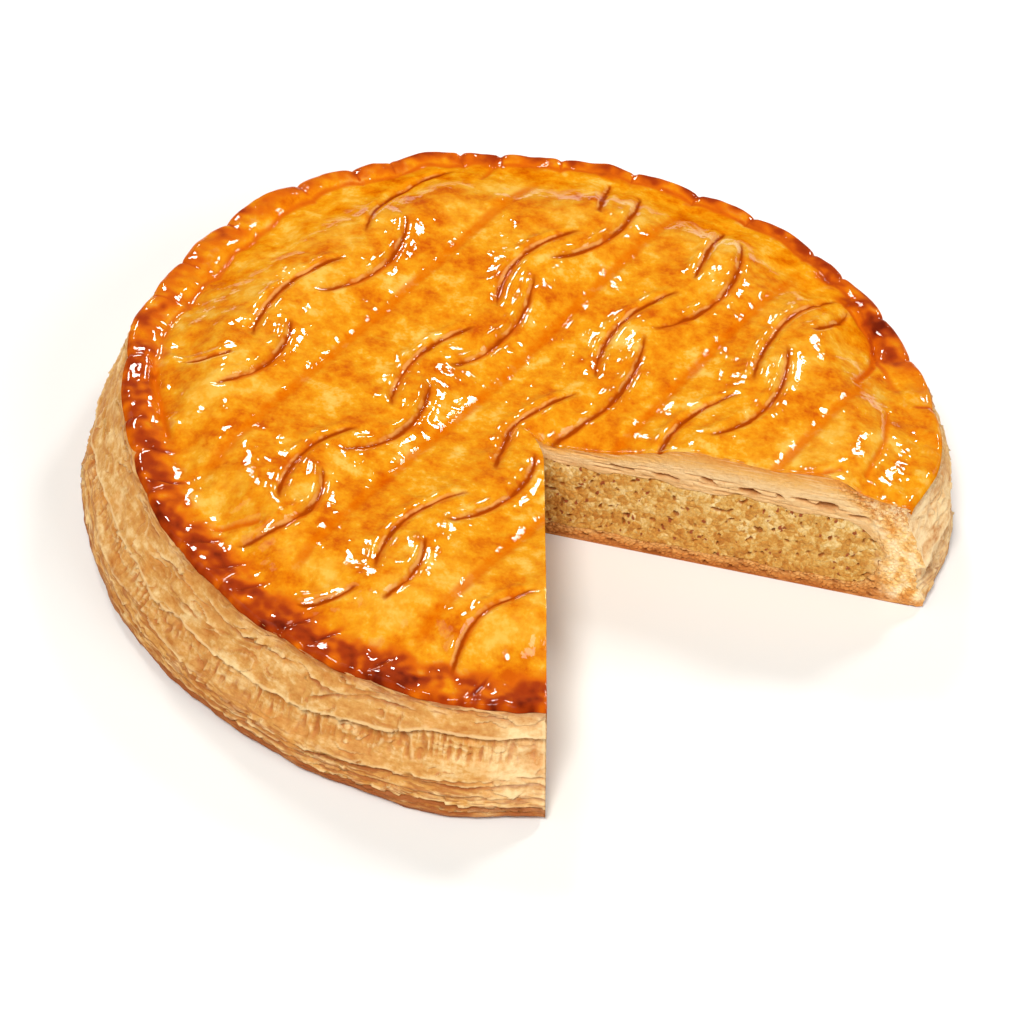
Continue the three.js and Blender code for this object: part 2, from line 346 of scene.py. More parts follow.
SIDE_PROFILE = ((0, -1.6), (0.8, 0.2), (2.5, 0.9), (6, 0.1), (12, -1.4), (18, -3.0), (24, -5.0),
                (30, -7.4), (36, -9.6), (40, -11.0))


def side_relief(azimuth, height):
    """Radius of the flaky side at a height, and how deep in a crease a point lies, which is painted as shade.
    """
    turn = np.radians(azimuth)
    heights, offsets = zip(*SIDE_PROFILE)
    level = height * RIM_HEIGHT / rim_top(azimuth)
    radius = BASE_RADIUS + np.interp(level, heights, offsets)
    upper = smooth(level, 14.0, 36.0)
    radius += upper * (rim_radius(azimuth) + corner_draw(azimuth, 5.5) - GLAZE_RADIUS)
    radius += (1 - upper) * path(azimuth, ((-14, -1.0), (0, -1.0), (12, 0.3), (60, 0.4), (100, 0.6),
                                           (150, -0.6), (172, -2.4), (188, -0.8), (215, 0.6), (240, 0.4),
                                           (270, 1.0), (284, 1.0)))
    radius -= corner_draw(azimuth, 6.5) + 1.2 * bell(azimuth - 2.0, 9.0)

    ring = stack(BASE_RADIUS * np.cos(turn), BASE_RADIUS * np.sin(turn), height)
    around = ring * (1, 1, 0)
    # The leaves run on round the cake, there and back, a little different each time
    hidden = smooth(182.0 - azimuth, 0.0, 14.0)
    folded = LEAVES_FROM + (azimuth - LEAVES_FROM) % (2 * (LEAVES_TO - LEAVES_FROM))
    folded = np.where(folded > LEAVES_TO, 2 * LEAVES_TO - folded, folded)
    folded = folded + 3.0 * hidden * hills(around, 34.0, 41)
    shifted = level + 1.6 * hidden * hills(around, 26.0, 42)
    wobble = 0.45 * hills(around, 6.0, 5) + 0.15 * hills(around, 2.4, 43)

    rise = shifted - path(folded, RIDGE) - wobble
    radius += 2.0 * shingle(rise, 8.0)
    fading = 0.65 + 0.5 * hills(around, 12.0, 44)
    # The crease value is painted as shade: under the ridge and each leaf's lower edge, under torn sheets, in
    # the hollow below the ridge and in the air pockets
    crease = 0.7 * fading * bell(rise + 0.6, 0.6) + 0.4 * bell(rise + 1.6, 1.4)
    below = smooth(-rise, 0.3, 1.2) * smooth(rise, -10.5, -7.0)
    for number, (step, length, dark, *edge) in enumerate(LEAVES):
        start, end = edge[0][0], edge[-1][0]
        present = smooth(folded, start - 0.6, start + 1.6)
        if end != LEAVES_TO:
            present = present * smooth(end - folded, -0.6, 1.6)
        if start == LEAVES_FROM:
            present = np.ones(folded.shape)
        present = present * (1 - hidden * smooth(hills(around, 22.0, 50 + number), -0.1, 0.2))
        rise = shifted - path(folded, edge) - wobble - 0.35 * hills(around, 3.4, 30 + number)
        radius += step * present * shingle(rise, length)
        fading = np.clip(0.6 + 0.9 * hills(around, 8.0, 80 + number), 0.1, 1.0)
        crease = np.maximum(crease, present * dark * (0.6 * fading * bell(rise + 0.5, 0.5)
                                                      + 0.4 * bell(rise + 1.1, 0.9)))

    arc = turn * BASE_RADIUS
    sheets = 2.4 * hills(stack(arc, 2.6 * height, 0.0), 13.0, 46)
    sheets = sheets + 0.7 * hills(stack(arc, 1.6 * height, 0.0), 4.5, 47)
    flake = np.mod(sheets, 1.0)
    torn = smooth(hills(stack(arc, 2.0 * height, 0.0), 10.0, 48), -0.25, 0.15)
    torn = torn * smooth(level, 2.0, 5.0) * smooth(34.5 - level, 0.0, 2.0)
    radius += 1.0 * torn * (flake - 0.5)
    crease = np.maximum(crease, 0.4 * torn * smooth(flake, 0.16, 0.02))
    fibres = np.abs(hills(stack(arc, height, 0.0), (2.0, 9.0, 1.0), 6))
    plain = smooth(level, 7.0, 11.0) * smooth(33.0 - level, 0.0, 3.0)
    radius -= plain * (0.35 + 0.5 * hills(around, 15.0, 45)) * fibres
    radius -= below * (0.9 + 1.4 * fibres)
    crease = np.maximum(crease, 0.45 * below * smooth(fibres, 0.14, 0.42))
    for place, middle, half_width, half_height, depth in AIR_POCKETS:
        off = ((folded - place) * np.radians(1) * BASE_RADIUS / half_width) ** 2
        lean = (shifted - middle) / half_height
        bowl = np.sqrt(np.clip(1.0 - off - lean ** 2 + 0.5 * wobble, 0.0, 1.0))
        radius -= depth * bowl
        crease = np.maximum(crease, min(0.4 + 0.2 * depth, 0.8) * bowl * smooth(lean, -0.2, 0.9))
    radius += 0.8 * hills(ring, (14.0, 14.0, 8.0), 7) + 0.4 * hills(ring, (5.5, 5.5, 3.0), 8)
    radius += 0.2 * hills(ring, (2.4, 2.4, 1.2), 9)
    under_lip = rim_radius(azimuth) - 0.3 + 0.9 * (35.0 - level)
    return np.where(level > 31.0, np.minimum(radius, under_lip), radius), crease


def side_radius(azimuth, height):
    return side_relief(azimuth, height)[0]


def foot_lift(azimuth):
    """The edge of the base curls up off the table a little here and there."""
    turn = np.radians(azimuth)
    lift = 0.6 + 0.5 * np.sin(5 * turn + 0.8) + 0.35 * np.sin(11 * turn) + 1.4 * bell(azimuth - 277, 12.0)
    return np.maximum(lift, 0.05)


# ---------------------------------------------------------------- mesh helpers

def new_grid(across, along):
    """A flat grid of points (u, v) from 0 to 1, as a mesh."""
    bm = bmesh.new()
    bmesh.ops.create_grid(bm, x_segments=across, y_segments=along, size=0.5)
    bmesh.ops.translate(bm, verts=bm.verts, vec=(0.5, 0.5, 0.0))
    mesh = bpy.data.meshes.new("grid")
    bm.to_mesh(mesh)
    bm.free()
    return mesh


def points_of(mesh):
    flat = np.empty(len(mesh.vertices) * 3)
    mesh.vertices.foreach_get("co", flat)
    return flat.reshape(-1, 3)


def place_points(mesh, points):
    mesh.vertices.foreach_set("co", np.ascontiguousarray(points, dtype=float).ravel())
    mesh.update()


def paint(mesh, **fields):
    """Keeps numbers on the mesh's points for its material to read."""
    for name, values in fields.items():
        layer = mesh.attributes.new(name, "FLOAT", "POINT")
        layer.data.foreach_set("value", np.asarray(values, dtype=np.float32))


def face_outwards(mesh, outward):
    """Turns the faces round if they point against outward, a vector at the first face."""
    normals = np.empty(len(mesh.polygons) * 3)
    mesh.polygons.foreach_get("normal", normals)
    if np.mean(normals.reshape(-1, 3) @ np.asarray(outward)) < 0:
        mesh.flip_normals()


def finish_piece(mesh, name, material, nodes, crisp=False):
    mesh.name = name
    mesh.polygons.foreach_set("use_smooth", np.ones(len(mesh.polygons), dtype=bool))
    if crisp:
        mesh.set_sharp_from_angle(angle=math.radians(65))
    mesh.materials.append(material)
    piece = bpy.data.objects.new(name, mesh)
    bpy.context.collection.objects.link(piece)
    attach(piece, "root")
    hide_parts(*nodes)


# ---------------------------------------------------------------- the knife cuts

def knife(angle, lean):
    """A cut's direction, and its normal towards the missing slice."""
    turn = math.radians(angle)
    along = np.array([math.cos(turn), math.sin(turn), 0.0])
    up = np.array([-lean, 0.0, 1.0])
    normal = np.cross(along, up)
    normal /= np.linalg.norm(normal)
    gap = math.radians(GAP_MIDDLE)
    towards = np.array([math.cos(gap), math.sin(gap), 0.0])
    return along, normal if normal @ towards > 0 else -normal


FIRST = {"angle": FIRST_CUT, "lean": 0.0}
SECOND = {"angle": SECOND_CUT, "lean": SECOND_LEAN}
for cut in (FIRST, SECOND):
    cut["along"], cut["normal"] = knife(cut["angle"], cut["lean"])


def cut_point(cut, distance, height):
    """The point of a cut at a distance from the tip and a height."""
    start_x = TIP[0] + cut["lean"] * (RIM_HEIGHT - height)
    return stack(start_x + distance * cut["along"][0], TIP[1] + distance * cut["along"][1], height)


def soften_cuts(points):
    """Bends the tip over, and lets the second cut bulge as a knife leaves it."""
    reach = np.hypot(points[:, 0] - TIP[0], points[:, 1] - TIP[1])
    points[:, 0] -= TIP_CURL * np.exp(-reach / 5.0) * smooth(points[:, 2], 8.0, 38.0)
    down = TIP[1] - points[:, 1]
    bulge = CUT_BULGE * smooth(down, 0.5, 13.0) * np.clip(1.0 - down / CUT_RUN, 0.0, 1.0)
    aside = (points - cut_point(SECOND, 0.0, RIM_HEIGHT)) @ SECOND["normal"]
    points[:, 0] += bulge * bell(aside, 16.0)
    return points


def cut_length(cut, height, surface):
    """How far a cut runs from the tip before it comes out through a surface."""
    reach = np.full(np.shape(height), CUT_GUESS)
    for _ in range(5):
        point = cut_point(cut, reach, height)
        azimuth = turn_of(point[..., 0], point[..., 1])
        reach = reach + surface(azimuth, height) - np.hypot(point[..., 0], point[..., 1])
    return reach


def side_end(azimuth, height):
    """The side's outline at a cut, rounded over into the lid at the top."""
    lip = rim_top(azimuth) - LIP_ROLL
    rolled = np.clip(height - lip, 0.0, LIP_ROLL)
    edge = rim_radius(azimuth) - LIP_ROLL + np.sqrt(LIP_ROLL ** 2 - rolled ** 2)
    return np.where(height > lip, edge, side_radius(azimuth, np.minimum(height, lip)))


LEVELS = np.linspace(-1.0, 50.0, 341)
for cut in (FIRST, SECOND):
    cut["reach"] = cut_length(cut, LEVELS, side_end)
    ends = cut_point(cut, cut_length(cut, LEVELS, side_radius), LEVELS)
    cut["azimuth"] = turn_of(ends[:, 0], ends[:, 1])


def end_azimuth(cut, height):
    """The azimuth at which a cut comes out through the side."""
    return np.interp(height, LEVELS, cut["azimuth"])


# ---------------------------------------------------------------- the glazed lid

def disc_points(u, v):
    """Rounds a unit square off into a unit disc without a seam."""
    a, b = 2 * u - 1, 2 * v - 1
    return a * np.sqrt(1 - b * b / 2), b * np.sqrt(1 - a * a / 2)


def lid_half(name, lower, material):
    """One half of the glazed skin; the halves meet in the bottom of a straight score."""
    mesh = new_grid(LID_GRID, LID_GRID)
    square = points_of(mesh)
    a, b = disc_points(square[:, 0], square[:, 1])
    share = np.hypot(a, b)
    turn = np.arctan2(b, a) + SCORE_ANGLE
    azimuth = turn_of(np.cos(turn), np.sin(turn))
    edge = rim_radius(azimuth)
    arc = LIP_ROLL * math.pi / 2
    inward = (1 - share) * (edge + arc - LIP_ROLL)
    bend = np.clip(inward / LIP_ROLL, 0.0, math.pi / 2)
    radius = np.where(inward < arc, edge - LIP_ROLL + LIP_ROLL * np.cos(bend),
                      edge - LIP_ROLL - (inward - arc))
    radius = np.maximum(radius, 0.0)
    x, y = radius * np.cos(turn), radius * np.sin(turn)
    place_points(mesh, stack(x, y, top_height(x, y)))

    bm = bmesh.new()
    bm.from_mesh(mesh)
    half_normal = Vector((-math.sin(SCORE_ANGLE), math.cos(SCORE_ANGLE), 0.0))
    bisect(bm, half_normal * SCORE_LINES[2], half_normal, clear_outer=lower, clear_inner=not lower)
    take_slice_out(bm)
    turn_down_cut_edge(bm)
    bm.to_mesh(mesh)
    bm.free()

    points = points_of(mesh)
    x, y = points[:, 0].copy(), points[:, 1].copy()
    azimuth = turn_of(x, y)
    inward = rim_radius(azimuth) - np.hypot(x, y)
    cut, strength, _ = cut_fields(x, y)
    strength = strength * smooth(inward, 5.0, 14.0) * smooth(-np.abs(cut), -3.4, -1.8)
    paint(mesh, cut=cut, strength=strength, score=score_distance(x, y), inward=inward,
          browning=browning(azimuth, inward, points), gloss=gloss(azimuth, inward, x, y))
    place_points(mesh, soften_cuts(points) * MM)
    face_outwards(mesh, (0, 0, 1))
    finish_piece(mesh, name, material, ["pastry_lid"])


def bisect(bm, point, normal, **clear):
    everything = bm.verts[:] + bm.edges[:] + bm.faces[:]
    bmesh.ops.bisect_plane(bm, geom=everything, dist=1e-5, plane_co=point, plane_no=normal, **clear)


def take_slice_out(bm):
    for cut in (FIRST, SECOND):
        bisect(bm, Vector(cut_point(cut, 0.0, RIM_HEIGHT)), Vector(cut["normal"]))
    inside = [face for face in bm.faces if in_slice(face.calc_center_median())]
    bmesh.ops.delete(bm, geom=inside, context="FACES")


def in_slice(point):
    spot = np.array(point)
    return all((spot - cut_point(cut, 0.0, RIM_HEIGHT)) @ cut["normal"] > 0 for cut in (FIRST, SECOND))


def turn_down_cut_edge(bm):
    """The skin's thickness shows along the cuts and under the rim."""
    loose = [edge for edge in bm.edges if edge.is_boundary and not on_half_line(edge)]
    made = bmesh.ops.extrude_edge_only(bm, edges=loose)["geom"]
    for vert in (item for item in made if isinstance(item, bmesh.types.BMVert)):
        radius = math.hypot(vert.co.x, vert.co.y)
        if radius > 108 and not near_cut(vert.co):
            vert.co.x *= 1 - 1.6 / radius
            vert.co.y *= 1 - 1.6 / radius
            vert.co.z -= 0.3
        else:
            vert.co.z -= 1.0


def on_half_line(edge):
    middle = (edge.verts[0].co + edge.verts[1].co) / 2
    return abs(bands(middle.x, middle.y)[1] - SCORE_LINES[2]) < 1e-3


def near_cut(point):
    spot = np.array(point)
    return any(abs((spot - cut_point(cut, 0.0, RIM_HEIGHT)) @ cut["normal"]) < 0.02
               for cut in (FIRST, SECOND))


def gloss(azimuth, inward, x, y):
    """The glaze lies thinner on the far shoulder of the rim and in the pressed folds."""
    shoulder = smooth(azimuth, 18.0, 34.0) * smooth(168.0 - azimuth, 0.0, 20.0)
    thin = shoulder * np.clip(1.35 * bell(inward - path(azimuth, GROOVE_PLACE) - 8.0, 10.0), 0.0, 0.99)
    return 1.0 - np.maximum(thin, np.clip(1.2 * crease_field(x, y), 0.0, 0.92))


BROWN_REACH = ((-14, 3), (10, 5), (30, 12), (45, 9), (60, 6.5), (130, 7), (165, 10), (185, 11),
               (215, 11), (245, 11.5), (284, 13))
BROWN_STRENGTH = ((-14, 0.25), (20, 0.35), (32, 1.05), (45, 1.05), (60, 0.95), (95, 0.92), (125, 0.72),
                  (150, 0.55), (172, 0.68), (190, 0.95), (200, 0.9), (225, 1.0), (284, 1.0))


def browning(azimuth, inward, points):
    """How dark the glaze is: oven browning round the rim, and browning with painted shade in grooves and
    folds.
    """
    flat = points * (1, 1, 0)
    edge = path(azimuth, BROWN_REACH) + 2.6 * hills(flat, 9.0, 61) + 1.2 * hills(flat, 3.0, 62)
    band = path(azimuth, BROWN_STRENGTH) * smooth(edge - inward, -4.0, 7.0) ** 0.8
    groove_gap = inward - path(azimuth, GROOVE_PLACE) - 1.4 * hills(flat, 9.0, 24)
    line = path(azimuth, ((-14, 0.0), (18, 0.2), (30, 0.8), (60, 0.6), (130, 0.5), (165, 0.5),
                          (200, 0.2), (284, 0.0)))
    brown = band * (0.85 + 0.8 * hills(flat, 7.0, 63) + 0.4 * hills(flat, 2.6, 64))
    # The groove, the pressed folds, the notches and the front folds darken partly by browning and partly as
    # painted shade.
    brown = np.maximum(brown, line * bell(groove_gap, 1.5))
    brown = np.maximum(brown, 0.6 * crease_field(points[:, 0], points[:, 1]))
    _, notch_gap = lobes(azimuth)
    crease = notch_gap * np.radians(1) * GLAZE_RADIUS
    brown = np.maximum(brown, 0.7 * bell(crease, 0.8) * smooth(8.0 - inward, 0.0, 3.0))
    for place in FRONT_FOLDS:
        gap = (azimuth - place - 0.25 * (inward - 6.0)) * np.radians(1) * GLAZE_RADIUS
        brown = np.maximum(brown, 1.25 * bell(gap, 1.3) * bell(inward - 6.5, 5.5))
    return np.clip(brown, 0.0, 1.3)


# ---------------------------------------------------------------- the flaky side

def flaky_side(name, start_share, end_share, material):
    """A stretch of the side from under the glazed skin down to the foot."""
    mesh = new_grid(SIDE_STEPS, SIDE_ROWS)
    square = points_of(mesh)
    column = 1.0 / SIDE_STEPS
    lead, tail = (column if start_share == 0.0 else 0.0), (column if end_share == 1.0 else 0.0)
    along = np.clip((square[:, 0] - lead) / (1.0 - lead - tail), 0.0, 1.0)
    share = start_share + (end_share - start_share) * along
    down = square[:, 1]
    rough_azimuth = SIDE_START + SIDE_SPAN * share
    top = rim_top(rough_azimuth) - LIP_ROLL + 1.3
    foot = foot_lift(rough_azimuth)
    wall = np.clip(down / WALL_SHARE, 0.0, 1.0)
    height = top + (foot - top) * wall
    start, end = end_azimuth(FIRST, height), end_azimuth(SECOND, height)
    azimuth = start + (end - start) * share
    radius, crease = side_relief(azimuth, height)
    under = np.clip((down - WALL_SHARE) / FOOT_SHARE, 0.0, 1.0)
    radius -= FOOT_TURN_IN * under
    height = height * (1 - 0.5 * under)
    radius -= 0.9 * smooth(height, top - 1.4, top)
    flange = (lead > 0) * (square[:, 0] < 1e-6) - 1.0 * (tail > 0) * (square[:, 0] > 1 - 1e-6)
    azimuth = azimuth + FLANGE_TURN * flange
    radius -= FLANGE_DEPTH * np.abs(flange)
    turn = np.radians(azimuth)
    # The hollow, radius below its blurred neighbours, is painted as shade in recesses and as light on crests
    smoothed = row_blur(square, radius)
    # pale: painted light over the right-hand end of the side, and a paler strip by the second cut
    pale = np.maximum(smooth(16.0 - azimuth, 0.0, 22.0), 0.5 * smooth(azimuth, 268.0, 277.0))
    paint(mesh, hollow=smoothed - radius, crease=crease, pale=pale * smooth(height, 3.0, 10.0))
    place_points(mesh, stack(radius * np.cos(turn), radius * np.sin(turn), height) * MM)
    middle = np.radians(SIDE_START + SIDE_SPAN * (start_share + end_share) / 2)
    face_outwards(mesh, (math.cos(middle), math.sin(middle), 0))
    finish_piece(mesh, name, material, ["pastry_lid", "pastry_base"])


def row_blur(square, values):
    """The values averaged over their neighbours: 4 rows and 3 columns either way."""
    order = np.lexsort((square[:, 0], square[:, 1]))
    width = len(np.unique(np.round(square[:, 0], 6)))
    table = values[order].reshape(-1, width)
    for axis, reach in ((0, 4), (1, 3)):
        padded = np.concatenate([np.repeat(np.take(table, [0], axis), reach, axis), table,
                                 np.repeat(np.take(table, [-1], axis), reach, axis)], axis)
        size = table.shape[axis]
        table = sum(np.take(padded, range(k, k + size), axis) for k in range(2 * reach + 1)) / (2 * reach + 1)
    blurred = np.empty_like(values)
    blurred[order] = table.ravel()
    return blurred


# ---------------------------------------------------------------- the cut faces

FIRST_SLOTS = (
    # distance from the tip, height, half length, half height: air slots under the lid's leaves
    (26, 31.4, 4.0, 0.7), (40, 31.6, 4.6, 0.9), (52.5, 32.8, 3.0, 0.9), (64.5, 31.9, 3.6, 1.3),
    (73.5, 32.0, 1.3, 1.0), (80, 32.6, 3.2, 0.8), (88, 32.0, 4.8, 1.6), (98, 30.2, 3.6, 1.0),
    (105, 27.4, 1.5, 1.5),
)
SECOND_SLOTS = (
    (22, 30.8, 5.0, 0.8), (35, 32.0, 3.4, 1.0), (48, 31.2, 5.4, 1.2), (60, 32.6, 2.6, 0.8),
    (71, 31.4, 5.2, 1.5), (84, 32.4, 3.6, 1.0), (93, 30.8, 4.2, 1.3), (102, 29.0, 2.6, 1.1),
)


def layer_limits(share):
    """Heights of the filling's foot and top along a cut, which close up where it ends."""
    end = np.clip((share - FILLING_CLOSES) / (FILLING_SHARE - FILLING_CLOSES), 0.0, 1.0)
    closing = np.sqrt(1 - end ** 2)
    uneven = 0.7 * np.sin(23 * share + 1.0) + 0.4 * np.sin(61 * share)
    top = SEAM_HEIGHT + (FILLING_TOP + uneven * (1 - end) - SEAM_HEIGHT) * closing
    foot = SEAM_HEIGHT + (FILLING_FOOT + 0.3 * np.sin(37 * share) - SEAM_HEIGHT) * closing
    return foot, top


def cut_layer(name, cut, layer, columns, rows, material, nodes, seed):
    """The part of a cut face that shows one layer: base, filling or lid."""
    mesh = new_grid(columns, rows)
    square = points_of(mesh)
    share = square[:, 0] * (FILLING_SHARE if layer == "filling" else 1.0)
    up = square[:, 1]
    rim_reach = cut_length(cut, np.full(share.shape, RIM_HEIGHT), lambda a, h: rim_radius(a) - 0.02)
    spot = cut_point(cut, share * rim_reach, np.full(share.shape, RIM_HEIGHT + 4.0))
    lid_top = top_height(spot[:, 0], spot[:, 1]) - 0.12
    foot, top = layer_limits(share)
    out_azimuth = SECOND_FOOT if cut is SECOND else SIDE_START
    floor = foot_lift(np.full(share.shape, out_azimuth)) * smooth(share, 0.85, 1.0) + 0.05
    low, high = {"base": (floor, foot), "filling": (foot, top), "lid": (top, lid_top)}[layer]
    height = low + (high - low) * up
    distance = share * np.interp(height, LEVELS, cut["reach"])
    rise = (height - low) / np.maximum(high - low, 0.1)

    relief = {"base": base_cut, "filling": crumb_cut, "lid": lid_cut}[layer]
    depth, fields = relief(cut, distance, height, share, rise, seed)
    outer = smooth(share, 0.86, 0.94)
    gap, number = grains(stack(distance, height, 0.0), (1.4, 1.2, 1.0), 7)
    crumbs = 0.35 - 0.45 * smooth(gap, 0.0, 0.4) + 0.3 * number
    depth = depth + outer * (crumbs - depth)
    depth = depth * edge_hold(distance, share, height, lid_top)
    hidden = {"base": up > 1 - 1e-6, "lid": up < 1e-6,
              "filling": (up < 1e-6) | (up > 1 - 1e-6) | (share > FILLING_SHARE - 1e-6)}[layer]
    depth = np.where(hidden & (distance > 1.5) & (share < FILLING_SHARE + 0.01), depth + 3.0, depth)
    fields["outer"] = outer
    # pit is painted as shade in every layer's finish, out into the outer crumbs
    fields["pit"] = fields["pit"] + outer * (np.clip(depth, 0.0, 0.6) - fields["pit"])
    points = cut_point(cut, distance, height) - depth[:, None] * cut["normal"]
    paint(mesh, **fields)
    place_points(mesh, soften_cuts(points) * MM)
    face_outwards(mesh, cut["normal"])
    finish_piece(mesh, name, material, nodes, crisp=True)


def edge_hold(distance, share, height, lid_top):
    """Keeps a cut's outline true, so that it meets the lid, the side and the other cut."""
    return (smooth(distance, 0.0, 1.2) * smooth(1 - share, 0.0, 0.008)
            * smooth(lid_top - height, 0.1, 0.9) * smooth(height, 0.1, 0.7))


def grains(points, size, seed):
    """Crumb grains: distance to the nearest grain's middle and a number for each grain."""
    spots = (np.asarray(points) / np.asarray(size) + 7.3 * seed).tolist()
    gap, number = [], []
    for spot in spots:
        distances, middles = noise.voronoi(spot)
        gap.append(distances[1] - distances[0])
        middle = middles[0]
        number.append((middle.x * 12.9898 + middle.y * 78.233 + middle.z * 37.719) % 1.0)
    return np.array(gap), np.array(number)


def crumb_cut(cut, distance, height, share, rise, seed):
    """The almond filling: grains, pits and flecks of almond skin."""
    flat = stack(distance, height, 0.0)
    wander = 0.5 * stack(hills(flat, 1.7, seed + 1), hills(flat, 1.7, seed + 2), 0.0)
    gap, number = grains(flat + wander, (1.55, 2.0, 1.0), seed)
    fine_gap, fine_number = grains(flat + wander, (0.85, 1.05, 1.0), seed + 3)
    pit = smooth(hills(flat, (1.9, 2.3, 1.0), seed + 4), 0.28, 0.58)
    broad = hills(flat, (11.0, 6.0, 1.0), seed + 5)
    depth = 0.5 + 0.3 * broad - 0.3 * smooth(gap, 0.0, 0.5) - 0.1 * smooth(fine_gap, 0.0, 0.4)
    depth = depth + 1.1 * pit * (0.35 + number)
    tone = 0.45 * number + 0.2 * fine_number + 0.35 * (0.5 + 0.6 * hills(flat, 5.0, seed + 6))
    tone = tone + 0.22 * (rise - 0.55)
    fleck = ((fine_number > 0.976) | ((number > 0.991) & (gap > 0.25))).astype(float)
    # pit, how deep a point lies in the face, is painted as shade
    return depth, {"pit": np.clip(depth / 1.6, 0.0, 1.0), "tone": tone, "fleck": fleck}


def lid_cut(cut, distance, height, share, rise, seed):
    """The lid in section: pale leaves with air slots over the filling, denser above."""
    flat = stack(distance, height, 0.0)
    drift = 1.3 * hills(flat, (24.0, 9.0, 1.0), seed + 1) + 0.25 * hills(flat, (5.0, 3.0, 1.0), seed + 2)
    loose = smooth(0.8 - rise, 0.0, 0.3) * smooth(share, 0.02, 0.08)
    leaves = 3.2 * hills(stack(distance, height + 0.6 * drift, 0.0), (15.0, 2.0, 1.0), seed + 3)
    torn = np.mod(leaves, 1.0)
    parting = smooth(torn, 0.8, 1.0) * smooth(hills(flat, (8.0, 3.0, 1.0), seed + 4), -0.3, 0.2)
    loose = loose * smooth(0.86 - share, 0.0, 0.06)
    depth = 0.15 + 0.16 * loose * torn + 0.25 * loose * parting + 0.3 * hills(flat, (9.0, 5.0, 1.0), seed + 5)
    depth += 0.14 * hills(flat, (1.7, 1.1, 1.0), seed + 6)
    ragged = hills(flat, (3.2, 1.6, 1.0), seed + 7)
    run = flat * (1, 0, 0)
    for leaf, level in enumerate((29.8, 31.6, 33.4)):
        line = level + 0.9 * hills(run, 20.0, seed + 20 + leaf)
        line += 0.25 * hills(run, 3.0, seed + 30 + leaf)
        parted = smooth(hills(run, 9.0, seed + 40 + leaf), -0.15, 0.25)
        gape = 0.9 * parted * bell(height - line, 0.3) * smooth(0.88 - share, 0.0, 0.06)
        depth += gape * smooth(share, 0.03, 0.1)
    for place, middle, half, tall in (FIRST_SLOTS if cut is FIRST else SECOND_SLOTS):
        sag = middle + 0.4 * drift - 0.35 * (distance - place) / half
        bite = 1 - ((distance - place) / half) ** 2 - ((height - sag) / tall) ** 2 + 1.2 * ragged
        depth += 2.6 * np.clip(bite, 0.0, 1.0) ** 0.6
    crumbly = smooth(share, 0.76, 0.88) * smooth(rise, 0.35, 0.8)
    crumbly = np.maximum(crumbly, smooth(share, 0.86, 0.93) * smooth(0.985 - share, 0.0, 0.03))
    gap, number = grains(flat, (1.3, 1.1, 1.0), seed + 8)
    depth += crumbly * (0.35 - 0.6 * smooth(gap, 0.0, 0.4) + 0.4 * number)
    depth = np.maximum(depth, -0.2)
    return depth, {"pit": np.clip(depth / 2.4, 0.0, 1.0), "rise": rise, "toasted": crumbly}


def base_cut(cut, distance, height, share, rise, seed):
    """The thin bottom crust in section: close, browned leaves."""
    flat = stack(distance, height, 0.0)
    gap, number = grains(flat, (1.5, 1.0, 1.0), seed)
    depth = 0.4 - 0.5 * smooth(gap, 0.0, 0.4) + 0.45 * hills(flat, (3.4, 1.5, 1.0), seed + 2)
    depth += 0.8 * smooth(hills(flat, (2.6, 1.6, 1.0), seed + 3), 0.2, 0.5)
    return depth, {"pit": np.clip(0.25 + depth / 1.8, 0.0, 1.0), "rise": rise,
                   "toasted": smooth(number, 0.35, 0.6) * smooth(0.94 - share, 0.0, 0.08)}


# ---------------------------------------------------------------- the underside

def underside(name, material):
    mesh = new_grid(UNDER_GRID, UNDER_GRID)
    square = points_of(mesh)
    a, b = disc_points(square[:, 0], square[:, 1])
    turn = np.arctan2(b, a)
    azimuth = turn_of(np.cos(turn), np.sin(turn))
    share = np.hypot(a, b)
    edge = side_radius(azimuth, foot_lift(azimuth)) - FOOT_INSET
    radius = share * edge
    x, y = radius * np.cos(turn), radius * np.sin(turn)
    rise = 0.18 + 0.16 * hills(stack(x, y, 0.0), 14.0, 71) + 0.1 * hills(stack(x, y, 0.0), 4.0, 72)
    height = np.maximum(rise, 0.0) * (1 - smooth(share, 0.9, 0.97))
    height = height + 0.62 * foot_lift(azimuth) * smooth(share, 0.93, 1.0)
    place_points(mesh, stack(x, y, height))
    bm = bmesh.new()
    bm.from_mesh(mesh)
    take_slice_out(bm)
    bm.to_mesh(mesh)
    bm.free()
    place_points(mesh, soften_cuts(points_of(mesh)) * MM)
    face_outwards(mesh, (0, 0, -1))
    finish_piece(mesh, name, material, ["pastry_base"])


# ---------------------------------------------------------------- finishes

def shade(red, green, blue):
    """A colour given as a colour chart shows it, for a material's socket."""
    chart = (red / 255, green / 255, blue / 255)
    linear = [value / 12.92 if value <= 0.04 else ((value + 0.055) / 1.055) ** 2.4 for value in chart]
    return (*linear, 1.0)


def add(tree, kind, inputs=None, **settings):
    """Adds a node; an input is either a number or colour, or the socket that feeds it."""
    node = tree.nodes.new(kind)
    for key, value in settings.items():
        setattr(node, key, value)
    for key, value in (inputs or {}).items():
        if isinstance(value, bpy.types.NodeSocket):
            tree.links.new(value, node.inputs[key])
        else:
            node.inputs[key].default_value = value
    return node


def new_finish(name, roughness, **numbers):
    """A material with its surface shader; numbers are the shader's own sockets."""
    material = bpy.data.materials.new(name)
    material.use_nodes = True
    tree = material.node_tree
    shader = tree.nodes["Principled BSDF"]
    shader.inputs["Roughness"].default_value = roughness
    for key, value in numbers.items():
        shader.inputs[key.replace("_", " ")].default_value = value
    return material, tree, shader


